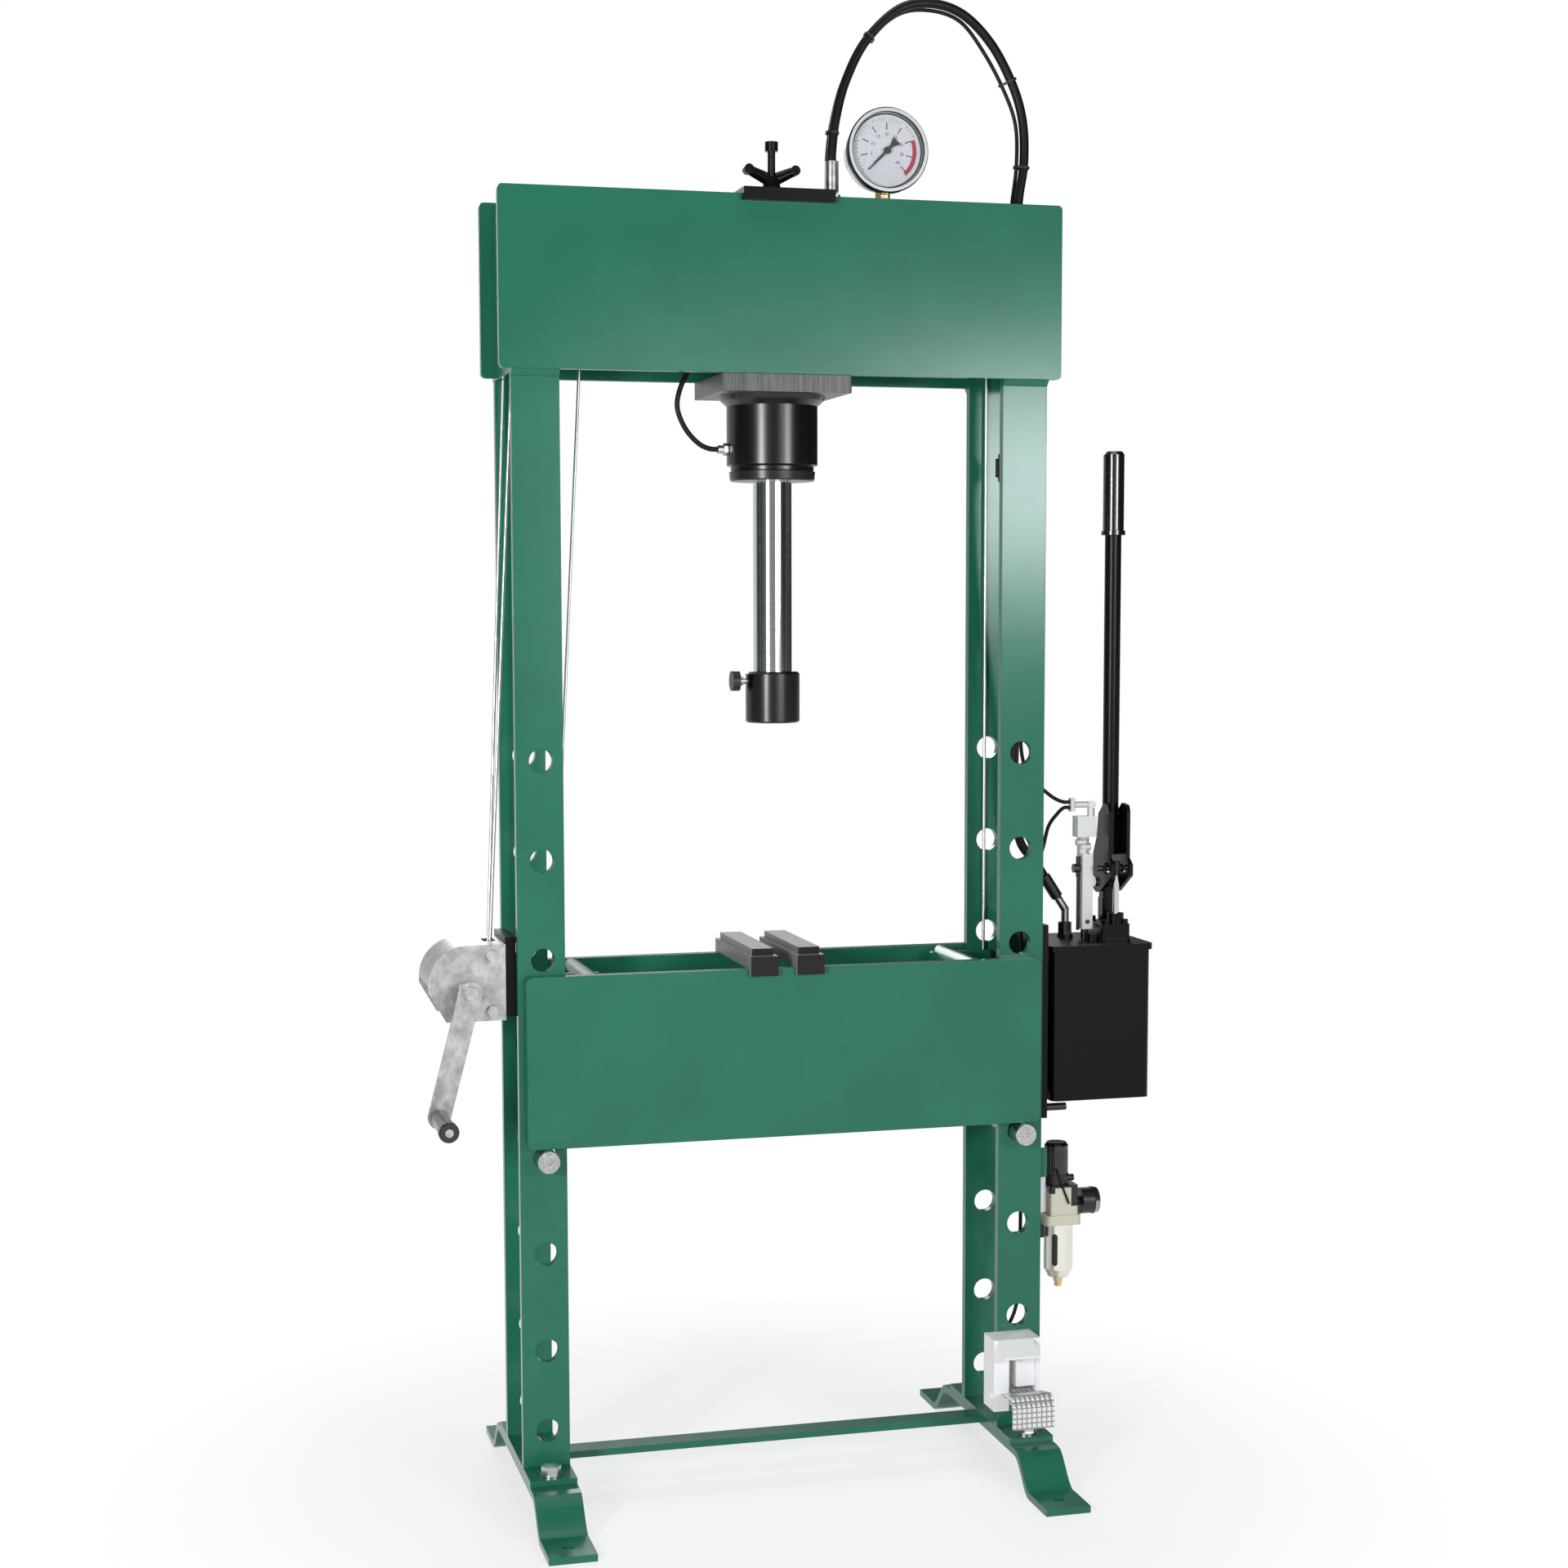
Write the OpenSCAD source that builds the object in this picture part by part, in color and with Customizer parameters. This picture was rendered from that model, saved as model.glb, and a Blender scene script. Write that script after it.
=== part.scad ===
// Floor standing hydraulic shop press, workshop H-frame type.
// Millimetres. Origin: floor, centre of the four anchor holes. X right, Y back, Z up.

/* [Frame] */
// Clear width between the uprights
clear_w = 577; // [480:1:700]
// Height of the top edge of the head
frame_h = 1660; // [1450:5:1950]
// Height of the head plates
head_h = 220; // [180:5:280]
// Thickness of the head plates
plate_t = 10; // [8:1:14]
// Width of one upright flat bar
bar_w = 60; // [50:1:75]
// Thickness of one upright flat bar
bar_t = 12; // [10:1:16]
// Depth over the front and rear bars
frame_d = 144; // [130:1:180]
// Diameter of the holes for the bed pins
hole_d = 30; // [26:1:36]
// Spacing of the pin holes
hole_pitch = 125; // [100:5:150]
// Height of the lowest full-pitch hole
hole_first = 209; // [180:1:240]

/* [Feet] */
// Length of each foot, front to back
foot_len = 520; // [440:10:640]
// Height of the raised middle of each foot
foot_rise = 50; // [40:1:70]
// Thickness of the foot strap
foot_t = 9; // [8:1:12]
// Diameter of the floor anchor holes
anchor_d = 14; // [10:1:18]

/* [Bed] */
// Height of the bed plates
bed_h = 218; // [160:1:260]
// Thickness of the bed plates
bed_t = 15; // [12:1:20]
// Pin hole that carries the bed, counted from the lowest
bed_hole = 2; // [1:1:4]
// Diameter of the bed pins
pin_d = 28; // [24:1:34]
// Width of one press block
block_w = 36; // [28:1:50]
// Space between the two press blocks
block_gap = 25; // [15:1:60]

/* [Ram] */
// Outside diameter of the cylinder below the head
cyl_d = 117; // [100:1:140]
// Diameter of the ram
ram_d = 50; // [40:1:60]
// Stroke of the ram
stroke = 225; // [150:5:250]
// Diameter of the pressing head
tip_d = 70; // [60:1:90]
// Diameter of the pressure gauge
gauge_d = 108; // [80:1:120]

/* [Winch] */
// Radius of the rope line on the drum
drum_r = 34; // [26:1:38]
// Diameter of the wire rope
rope_d = 4; // [3:0.5:6]
// Crank length from shaft to grip
crank_l = 160; // [120:1:200]

/* [Pump] */
// Width of the oil tank
tank_w = 139; // [110:1:180]
// Depth of the oil tank
tank_d = 132; // [110:1:160]
// Height of the oil tank
tank_h = 200; // [160:5:260]
// Height of the top of the pump lever
lever_top = 1355; // [1100:5:1500]

/* [Hidden] */

$fn = 64;
run_gap = 0.05;     // radial clearance of every turning or sliding round fit
face_gap = 0.3;     // clearance between faces that slide past each other

green = [0.20, 0.49, 0.38];
black = [0.08, 0.08, 0.09];
steel = [0.78, 0.79, 0.80];
chrome = [0.88, 0.89, 0.90];
brass = [0.80, 0.66, 0.36];

// frame
bar_x = clear_w/2 + bar_w/2;
bar_out = clear_w/2 + bar_w;          // outer edge of the bars
yo = frame_d/2;                       // outer face of the bars
yi = yo - bar_t;                      // inner face of the bars
yh = yo + plate_t;                    // outer face of the head plates
head_over = 15.5;                     // head plates past the bars
head_w = 2*(bar_out + head_over);
head_z = frame_h - head_h;            // underside of the head
weld = 8.5;                           // leg of the fillet weld under the head plates
base_t = 8;
bar_z0 = foot_rise + base_t;
bar_z1 = frame_h - 12;
hole_in = 2;                          // pin holes sit this far inward of the bar's middle
hole_x = bar_x - hole_in;
low_hole_z = 105;
hole_zs = concat([low_hole_z], [for (k = [0:6]) hole_first + k*hole_pitch]);

// feet
foot_flat = 140;                      // half length of the raised middle
foot_pad = 195;                       // where the floor pad begins
anchor_y = 228;
bolt_y = 104;

// bed
pin_z = hole_first + bed_hole*hole_pitch - (hole_d - pin_d)/2;
bed_z = pin_z + pin_d/2;
bed_top = bed_z + bed_h;
bed_gap = 2;
bed_y = yo + bed_gap;                 // inner face of the bed plates
bed_w = 2*(bar_out - 8);
spacer_x = clear_w/2 - 33.5;
spacer_r = 18;
lug_z = bed_top - 18;
block_lip = 8;

// ram
tip_h = 66;
rod_show = 250;                       // ram showing between cylinder and head
cyl_z = head_z - 130;                 // lower end of the cylinder
tip_z = cyl_z - rod_show - tip_h + 6;
mount_t = 22;
mount_w = 168;
mount_d = 2*yh - 4;
inner_r = 48;                         // cylinder inside the head
bore_r = 38;
gland = 25;
piston_t = 30;
cyl_top = frame_h - 20;
port_z = cyl_z + 40;                  // side port of the cylinder
man_t = 19;
saddle_w = 118;
ferrule_x = 80;
gauge_x = 147;
gauge_z = frame_h + 16 + gauge_d/2;
gauge_y = -30;

// winch and ropes
rr = rope_d/2;
win_x = -(bar_out + 63);
win_z = 676;
sh_r = 42.5;                           // rope line radius on the sheaves
sh_z = frame_h - 160;
sl_x = -(clear_w/2 + 5);
sr_x = clear_w/2 - 21;
ya = -18;                             // plane of the left hand rope
yb = 54;                              // plane of the right hand rope
yd = -4;                              // where the right hand rope leaves the drum
lift_l = [-(clear_w/2 + 6.5), ya, lug_z + 12.2];
lift_r = [sr_x + sh_r, yb, lug_z + 12.2];

// pump
tank_x = bar_out + 17.5;
tank_z = 493;
lid_z = tank_z + tank_h;
lid_t = 8;
deck = lid_z + lid_t;
lev_x = tank_x + 108;
piv_y = 17;
piv_z = deck + 76;
pin_out = 33;                         // plunger pin in front of the pivot
pin_up = 21;                          // plunger pin above the pivot
plun_y = piv_y - pin_out;
plun_z = piv_z + pin_up;
plun_r = 4.3;
cheek_t = 5;
fork_in = 10.5;                       // from the lever's middle to a cheek
grip_y = piv_y - 11;                  // the handle stands in front of the pivot

// air unit
frl_x = bar_out + 41.5;
frl_y = -30;
frl_z = 334;                          // underside of the air unit's body

// pedal
ped_x0 = bar_out - 78.5;
ped_w = 64;
ped_y = -(yo + 40);
ped_pin_z = 112;

// --- helpers ---------------------------------------------------------------
module bx(x0, x1, y0, y1, z0, z1) translate([x0, y0, z0]) cube([x1-x0, y1-y0, z1-z0]);
module zc(x, y, z0, z1, r, r2 = -1)
  translate([x, y, z0]) cylinder(h = z1-z0, r1 = r, r2 = r2 < 0 ? r : r2);
module yc(x, y0, y1, z, r, r2 = -1)
  translate([x, y0, z]) rotate([-90, 0, 0]) cylinder(h = y1-y0, r1 = r, r2 = r2 < 0 ? r : r2);
module xc(x0, x1, y, z, r, r2 = -1)
  translate([x0, y, z]) rotate([0, 90, 0]) cylinder(h = x1-x0, r1 = r, r2 = r2 < 0 ? r : r2);
module hexa(x, y, z0, z1, af) translate([x, y, z0]) cylinder(h = z1-z0, r = af/sqrt(3), $fn = 6);
// straight round bar from p to q
module rod(p, q, r, r2 = -1) {
  d = q - p;
  l = norm(d);
  translate(p) rotate([0, acos(d[2]/l), atan2(d[1], d[0])])
    cylinder(h = l, r1 = r, r2 = r2 < 0 ? r : r2);
}
module rrect(w, h, r) {
  translate([r, 0]) square([w - 2*r, h]);
  translate([0, r]) square([w, h - 2*r]);
  for (x = [r, w-r], y = [r, h-r]) translate([x, y]) circle(r);
}
// rounded plate standing in XZ, from y0 to y1
module wall(x0, x1, z0, z1, y0, y1, r)
  translate([x0, y1, z0]) rotate([90, 0, 0]) linear_extrude(y1-y0) rrect(x1-x0, z1-z0, r);
// rounded box standing on z0
module rbox(x0, x1, y0, y1, z0, z1, r)
  translate([x0, y0, z0]) linear_extrude(z1-z0) rrect(x1-x0, y1-y0, r);
// profile drawn in [y, z], extruded along X
module side(x0, x1) translate([x0, 0, 0]) rotate([90, 0, 90]) linear_extrude(x1-x0) children();

// smooth tube through hand-placed points
function cr(a, b, c, d, t) = 0.5*((2*b) + (c-a)*t + (2*a-5*b+4*c-d)*t*t + (3*b-a-3*c+d)*t*t*t);
function smooth(p, n) = let (m = len(p)-1) concat([for (i = [0:m-1]) for (k = [0:n-1])
  cr(p[max(i-1, 0)], p[i], p[i+1], p[min(i+2, m)], k/n)], [p[m]]);
function unit(v) = v/norm(v);
function way(p, q, i) = i == 0 ? unit(p[1]-p[0]) : i == len(q)-1 ? unit(p[len(p)-1]-p[len(p)-2])
  : unit(q[i+1] - q[i-1]);
module cord(p, r, n = 2, ref = [0, 1, 0], sides = 8) {
  q = smooth(p, n);
  m = len(q);
  pts = [for (i = [0:m-1]) let (t = way(p, q, i), u = unit(cross(t, ref)), v = cross(t, u))
    for (k = [0:sides-1]) q[i] + r*(cos(360*k/sides)*u + sin(360*k/sides)*v)];
  polyhedron(points = pts, faces = concat(
    [[for (k = [0:sides-1]) k]],
    [for (i = [0:m-2]) for (k = [0:sides-1]) let (a = i*sides+k, b = i*sides+(k+1)%sides)
      [a, a+sides, b+sides, b]],
    [[for (k = [sides-1:-1:0]) (m-1)*sides+k]]), convexity = 6);
}

// --- routes of the free hoses ------------------------------------------------
hz = frame_h - 1660;                  // follows the head
dz = deck - 701;                      // follows the top of the tank
union_x = 317;                        // joint of the two hoses inside the right upright
loop_route = [[80, 0, 1717], [80, 0, 1730], [85, 0, 1770], [98, 0, 1818], [125, 0, 1870], [169, 0, 1912],
  [213, 0, 1922], [257, 0, 1910], [296, 0, 1874], [325, 0, 1824], [339, 0, 1778], [341, 0, 1726],
  [334, 0, 1676], [328, 0, 1590], [321, 0, 1500], [317, 0, 1400], [317, 0, 1349]];
line_route = [[76, 11, 1676], [76, 11, 1690], [77, 11, 1730], [83, 10, 1772], [97, 9.5, 1820],
  [125, 9.5, 1867], [170, 9.5, 1907], [213, 8.5, 1915], [254, 6, 1903], [286, 5, 1866],
  [314, 5, 1819], [331, 6, 1776], [333, 6, 1726], [328, 8, 1677], [317, 5, 1600], [311, -8, 1520],
  [320, -16, 1400], [322, -16, 1349]];
drop_route = [[317, 0, 1313], [317, 0, 1260], [321, 6, 1160], [334, 14, 1060], [341, 20, 980],
  [342, 25, 890], [353, 29, 833], [375, 30, 805], [388, 30, 785]];
side_route = [[-72, 0, 1350], [-84, 0, 1351], [-98, 0, 1358], [-113, 0, 1374], [-123, 0, 1395],
  [-124, 0, 1413], [-116, 0, 1437], [-100, 0, 1462], [-76, 0, 1476], [-58, 0, 1476]];
tube_a = [[322, -16, 1349], [322, -16, 1280], [326, -15, 1140], [336, -13, 1010], [340, -10, 955],
  [352, -7, 922], [370, -6, 907], [387, -6, 894], [401, -6, 888], [410, -6, 888]];
tube_b = [[279, -72, 140], [279, -62, 140], [283, -42, 142], [298, -24, 150], [338, -10, 205],
  [343, -10, 330], [344, -8, 560], [343, -4, 720], [347, -2, 774], [361, -2, 799], [373, -3, 824],
  [381, -4, 855], [393, -5, 872], [402, -6, 880], [410, -6, 880]];
function lift(p) = [for (v = p) v + [0, 0, hz]];

// --- frame -------------------------------------------------------------------
// each head plate carries a fillet weld along its lower edge at both bars
module head_plate(f) color(green) {
  wall(-head_w/2, head_w/2, head_z, frame_h, f > 0 ? yo : -yh, f > 0 ? yh : -yo, 6);
  for (s = [-1, 1]) side(s*bar_x - bar_w/2, s*bar_x + bar_w/2)
    polygon([[f*yo, head_z], [f*(yo+weld), head_z], [f*yo, head_z-weld]]);
}
module head_front_plate() head_plate(-1);
module head_rear_plate() head_plate(1);
module head_side_plates() color(green) for (s = [-1, 1])
  bx(min(s*bar_out, s*(bar_out-5)), max(s*bar_out, s*(bar_out-5)), -yi, yi, head_z-4, bar_z1);
module upright(sx, sy) color(green)
  difference() {
    bx(sx*bar_x - bar_w/2, sx*bar_x + bar_w/2, sy > 0 ? yi : -yo, sy > 0 ? yo : -yi, bar_z0, bar_z1);
    for (z = hole_zs) yc(sx*hole_x, sy*(yo-bar_t/2) - bar_t, sy*(yo-bar_t/2) + bar_t, z, hole_d/2);
  }
module front_uprights() {
  for (s = [-1, 1]) upright(s, -1);
  // tab beside the air unit
  color(green) bx(bar_out, bar_out+10.5, -yo+6, -yo+10, frl_z+58, frl_z+97);
}
module rear_uprights() for (s = [-1, 1]) upright(s, 1);

// bent strap: raised middle, sloping shoulders, flat floor pads
function ease(t) = (1 - cos(180*t))/2;
foot_line = concat([[-foot_len/2, 0], [-foot_pad-6, 0]],
  [for (k = [0:8]) [-foot_pad + (foot_pad-foot_flat)*k/8, (foot_rise-foot_t)*ease(k/8)]]);
function flip(p) = [for (i = [len(p)-1:-1:0]) [-p[i][0], p[i][1]]];
foot_low = concat(foot_line, flip(foot_line));
foot_up = [for (i = [len(foot_low)-1:-1:0]) let (p = foot_low[i])
  [p[0] + (abs(p[0]) > foot_flat && abs(p[0]) < foot_pad ? sign(p[0])*4.2 : 0), p[1] + foot_t]];
module foot(s) color(green) difference() {
  side(s*bar_x - bar_w/2, s*bar_x + bar_w/2) polygon(concat(foot_low, foot_up));
  for (f = [-1, 1]) {
    zc(s*bar_x, f*anchor_y, -1, foot_t+1, anchor_d/2);
    zc(s*bar_x, f*bolt_y, foot_rise-foot_t-1, foot_rise+1, 8.2);
  }
}
module base_plates() color(green) for (s = [-1, 1]) difference() {
  bx(s*bar_x - bar_w/2, s*bar_x + bar_w/2, -124, 124, foot_rise, bar_z0);
  for (f = [-1, 1]) zc(s*bar_x, f*bolt_y, foot_rise-1, bar_z0+1, 8.2);
}
module base_bolts() color(steel) for (s = [-1, 1], f = [-1, 1]) {
  zc(s*bar_x, f*bolt_y, bar_z0, bar_z0+3, 14);
  hexa(s*bar_x, f*bolt_y, bar_z0+3, bar_z0+12, 22);
  zc(s*bar_x, f*bolt_y, foot_rise-foot_t-16, bar_z0+12, 8);
  hexa(s*bar_x, f*bolt_y, foot_rise-foot_t-12, foot_rise-foot_t, 22);
}
// both feet, with the flat bar that ties them together
module foot_frame() {
  foot(-1);
  foot(1);
  color(green) bx(-clear_w/2, clear_w/2, 0, 32, foot_rise-foot_t, foot_rise);
}

// --- bed ----------------------------------------------------------------------
module bed_plate(f) color(green)
  wall(-bed_w/2, bed_w/2, bed_z, bed_top, f > 0 ? bed_y : -bed_y-bed_t, f > 0 ? bed_y+bed_t : -bed_y, 8);
module bed_front_plate() bed_plate(-1);
module bed_rear_plate() bed_plate(1);
// tubes between the plates; the upper two carry lifting lugs that reach between the bars
module bed_spacers() color(green) {
  for (s = [-1, 1], z = [bed_z + 34, lug_z]) difference() {
    yc(s*spacer_x, -bed_y, bed_y, z, spacer_r);
    yc(s*spacer_x, -bed_y-1, bed_y+1, z, spacer_r-5);
  }
  difference() {
    wall(lift_l[0]-9, -spacer_x+22, lug_z-14, lug_z+12, ya-5, ya+5, 4);
    yc(-spacer_x, ya-6, ya+6, lug_z, spacer_r);
  }
  difference() {
    wall(spacer_x-22, lift_r[0]+9, lug_z-14, lug_z+12, yb-5, yb+5, 4);
    yc(spacer_x, yb-6, yb+6, lug_z, spacer_r);
  }
}
module bed_pins() color(chrome) for (s = [-1, 1]) difference() {
  yc(s*hole_x, -yo-30, yo+30, pin_z, pin_d/2);
  for (f = [-1, 1]) yc(s*hole_x, f*(yo+30)-2, f*(yo+30)+2, pin_z, 4);
}
module press_block(x) color(black) {
  bx(x, x+block_w, -bed_y-bed_t-9, bed_y+bed_t+9, bed_top, bed_top+17);
  bx(x+4, x+block_w-4, -bed_y-bed_t+2, bed_y+bed_t-2, bed_top+17, bed_top+26);
  for (f = [-1, 1])
    bx(x, x+block_w, f > 0 ? bed_y+bed_t+face_gap : -bed_y-bed_t-9,
       f > 0 ? bed_y+bed_t+9 : -bed_y-bed_t-face_gap, bed_top-block_lip, bed_top);
}
module press_blocks() {
  press_block(-block_gap/2-block_w-6);
  press_block(block_gap/2-6);
}

// --- cylinder and its sliding carriage --------------------------------------------
module ram_mount_plate() color(black) difference() {
  rbox(-mount_w/2, mount_w/2, -mount_d/2, mount_d/2, head_z-mount_t-0.1, head_z-0.1, 3);
  zc(0, 0, head_z-mount_t-1, head_z+1, inner_r+run_gap);
}
module cylinder_shape() rotate_extrude() polygon([
  [ram_d/2+run_gap, cyl_z], [cyl_d/2-5, cyl_z], [cyl_d/2-4, cyl_z+1.5], [cyl_d/2-3, cyl_z+12],
  [cyl_d/2-5, cyl_z+13], [cyl_d/2-5, cyl_z+18], [cyl_d/2, cyl_z+20], [cyl_d/2, head_z-mount_t-13],
  [cyl_d/2+8, head_z-mount_t-6], [cyl_d/2+10, head_z-mount_t-0.1],
  [inner_r, head_z-mount_t-0.1], [inner_r, cyl_top], [0, cyl_top],
  [0, cyl_top-15], [bore_r, cyl_top-15], [bore_r, cyl_z+gland], [ram_d/2+run_gap, cyl_z+gland]]);
module cylinder_body() color(black) difference() {
  cylinder_shape();
  xc(-inner_r-3, -bore_r-2, 0, 1476+hz, 6.5);
  xc(-cyl_d/2-13.5, -cyl_d/2+0.4, 0, port_z, 5.5);
}
module ram_rod() color(chrome) rotate_extrude() polygon([
  [0, tip_z+tip_h-24], [ram_d/2, tip_z+tip_h-24], [ram_d/2, cyl_z+gland],
  [bore_r-run_gap, cyl_z+gland], [bore_r-run_gap, cyl_z+gland+piston_t], [0, cyl_z+gland+piston_t]]);
module ram_head() color(black) difference() {
  rotate_extrude() polygon([[0, tip_z], [tip_d/2-2, tip_z], [tip_d/2, tip_z+2],
    [tip_d/2, tip_z+tip_h-3], [tip_d/2-3, tip_z+tip_h], [ram_d/2, tip_z+tip_h],
    [ram_d/2, tip_z+tip_h-24], [0, tip_z+tip_h-24]]);
  xc(-tip_d/2-1, -ram_d/2, 0, tip_z+tip_h-12, 4+run_gap);
}
module ram_thumbscrew() color(steel) {
  xc(-ram_d/2-22, -ram_d/2-0.3, 0, tip_z+tip_h-12, 4);
  xc(-tip_d/2-10, -tip_d/2-5, 0, tip_z+tip_h-12, 6);
  xc(-tip_d/2-20, -tip_d/2-10, 0, tip_z+tip_h-12, 13);
}
module manifold() color(black)
  rbox(-34, gauge_x+18, -15, 15, cyl_top, cyl_top+man_t, 4);
// saddle that clamps the carriage over the top edges of the head
module clamp_saddle() color(black) difference() {
  union() {
    bx(-saddle_w/2, saddle_w/2, -yh-10, yh+10, frame_h+0.1, frame_h+7);
    for (f = [-1, 1]) bx(-saddle_w/2, saddle_w/2, f > 0 ? yh+face_gap : -yh-10,
      f > 0 ? yh+10 : -yh-face_gap, frame_h-9, frame_h+0.1);
  }
  zc(0, 0, frame_h-1, frame_h+8, 6);
}
module clamp_screw() color(black) difference() {
  union() {
    zc(0, 0, cyl_top+man_t, frame_h+66, 5);
    zc(0, 0, frame_h+66, frame_h+78, 8.5);
  }
  hexa(0, 0, frame_h+72, frame_h+79, 6);
}
module wing_nut() color(black) difference() {
  union() {
    zc(0, 0, frame_h+7, frame_h+34, 15, 9);
    for (s = [-1, 1]) {
      rod([s*6, 0, frame_h+32], [s*30.5, 0, frame_h+43], 8, 6);
      yc(s*30.5, -6.2, 6.2, frame_h+43, 6.4);
    }
  }
  zc(0, 0, frame_h+6, frame_h+60, 5+run_gap);
}
// fittings that ride with the cylinder
module hose_fittings() color(steel) {
  hexa(ferrule_x, 0, cyl_top+man_t, cyl_top+man_t+16, 20);
  zc(ferrule_x, 0, cyl_top+man_t+16, cyl_top+man_t+19, 6);
  zc(76, 11, cyl_top+man_t, cyl_top+man_t+17, 4);
  zc(ferrule_x, 0, cyl_top+man_t+19, frame_h+57, 8.7);
  xc(-cyl_d/2-13.5, -cyl_d/2+0.4, 0, port_z, 5.5);
  xc(-cyl_d/2-6, -cyl_d/2-0.5, 0, port_z, 8, $fn = 6);
  xc(-58, -inner_r+4, 0, 1476+hz, 6.5);
}

// gauge
gr = gauge_d/2;
gy = gauge_y;
module gauge_case() color(steel) translate([gauge_x, gy, gauge_z]) rotate([-90, 0, 0])
  rotate_extrude() polygon([[gr-6, 0], [gr-1.5, 0], [gr, 3], [gr, 11], [gr-3, 15], [gr-5, 16],
    [gr-5, 38], [gr-9, 42], [0, 42], [0, 10], [gr-6, 10]]);
module gauge_stem() color(brass) difference() {
  union() {
    hexa(gauge_x, gy+26, cyl_top+man_t, gauge_z-gr+8, 17);
    zc(gauge_x, gy+26, cyl_top+man_t, cyl_top+man_t+5, 11);
  }
  yc(gauge_x, gy+14, gy+40, gauge_z, gr-5);
}
module gauge_dial() color([0.95, 0.95, 0.94]) difference() {
  yc(gauge_x, gy+8.5, gy+10, gauge_z, gr-6);
  yc(gauge_x, gy+8, gy+11, gauge_z, 2);
}
module gauge_glass() color([0.9, 0.95, 1, 0.35]) yc(gauge_x, gy+1, gy+3, gauge_z, gr-6);
module gauge_pointer() color(black) translate([gauge_x, 0, gauge_z]) {
  yc(0, gy+3.6, gy+9.9, 0, 1.9);
  yc(0, gy+4, gy+7.5, 0, 4.5);
  rotate([0, -45, 0]) translate([0, gy+7, 0]) rotate([90, 0, 0]) linear_extrude(1.2)
    polygon([[-34, -0.7], [-34, 0.7], [-2, 1.8], [9, 2.2], [18, 6.5], [18, -6.5], [9, -2.2], [-2, -1.8]]);
}

module side_hose() color(black) cord(lift(side_route), 3.3, 1);
module upper_hose() color(black) cord(lift(loop_route), 6, 2, sides = 10);
module air_line() color(black) cord(lift(line_route), 2.5, 2);
// the first points follow the head and the last ones the tank
function fit(p, top, low) = [for (i = [0:len(p)-1])
  p[i] + [0, 0, i < top ? hz : i >= len(p)-low ? dz : 0]];
module lower_hose() color(black) cord(fit(drop_route, 2, 3), 6, 2, sides = 10);

// --- ropes, sheaves and winch -------------------------------------------------------
module sheave(x, y, w) color(steel) translate([x, y, sh_z]) rotate([90, 0, 0])
  rotate_extrude() polygon([[8+run_gap, -w/2], [sh_r+4, -w/2], [sh_r+4, -w/2+0.6],
    [sh_r-rr-0.1, -1.9], [sh_r-rr-0.1, 1.9], [sh_r+4, w/2-0.6], [sh_r+4, w/2], [8+run_gap, w/2]]);
module left_sheaves() {
  sheave(sl_x, ya, 12);
  sheave(sl_x, yb, 8);
}
module right_sheave() sheave(sr_x, yb, 8);
module sheave_axles() color(steel) {
  yc(sl_x, -yi, yi, sh_z, 8);
  yc(sr_x, -yo, yo, sh_z, 8);
}
// rope line from the drum to a left sheave: a crossed tangent
d_v = [sl_x - win_x, sh_z - win_z];
tilt = atan2(d_v[0], d_v[1]) - asin((drum_r + sh_r)/norm(d_v));
drum_pt = [win_x + drum_r*cos(tilt), win_z - drum_r*sin(tilt)];
on_sheave = [sl_x - sh_r*cos(tilt), sh_z + sh_r*sin(tilt)];
// rope line from the left sheave down to the bed
p_v = [sl_x - lift_l[0], sh_z - lift_l[2]];
lean = atan2(p_v[0], p_v[1]) + asin(sh_r/norm(p_v));
run_l = sqrt(norm(p_v)*norm(p_v) - sh_r*sh_r);
off_sheave = [lift_l[0] + run_l*sin(lean), lift_l[2] + run_l*cos(lean)];
// rope lying round a sheave, from angle a0 to a1 measured up from +X in XZ, pressed a little flat
module wrap(x, y, a0, a1) translate([x, y, sh_z]) rotate([90, 0, 0]) rotate([0, 0, a0])
  rotate_extrude(angle = a1-a0) translate([sh_r, 0]) circle(rr+0.05, $fn = 24);
// rope from p to where it meets a sheave at q, run on into the wrap; if it comes in aslant,
// it turns square to the sheave 30 mm before
module rope(p, q) {
  d = unit([q[0]-p[0], 0, q[2]-p[2]]);
  knee = q[1] == p[1] ? p : q - 30*d;
  rod(knee, q + d, rr, $fn = 24);
  if (q[1] != p[1]) {
    rod(p, knee, rr, $fn = 24);
    translate(knee) sphere(rr+0.3, $fn = 24);
  }
}
module bed_ropes() color(steel) {
  rod(lift_l, [off_sheave[0], ya, off_sheave[1]], rr, $fn = 24);
  zc(lift_r[0], yb, lift_r[2], sh_z, rr, $fn = 24);
}
module winch_ropes() color(steel) {
  rope([drum_pt[0], ya, drum_pt[1]], [on_sheave[0], ya, on_sheave[1]]);
  wrap(sl_x, ya, -lean, 180-tilt);
  rope([drum_pt[0], yd, drum_pt[1]], [on_sheave[0], yb, on_sheave[1]]);
  wrap(sl_x, yb, 90, 180-tilt);
  xc(sl_x-1, sr_x+1, yb, sh_z+sh_r, rr, $fn = 24);
  wrap(sr_x, yb, 0, 90);
}
wy0 = -62;                            // front cheek of the winch
wy1 = 36;                             // rear cheek of the winch
case_x = win_x + 4.5;                 // the cheeks' outline is drawn from here
module cheek(y0, y1) translate([case_x, y1, win_z]) rotate([90, 0, 0]) linear_extrude(y1-y0)
  difference() {
    union() {
      polygon([[-52, -4], [-30, -42], [45, -42], [45, 54], [-2, 54], [-52, 4]]);
      translate([-2, 4]) intersection() { circle(50); translate([-50, 0]) square(50); }
    }
    translate([win_x-case_x, 0]) circle(9);
  }
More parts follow.
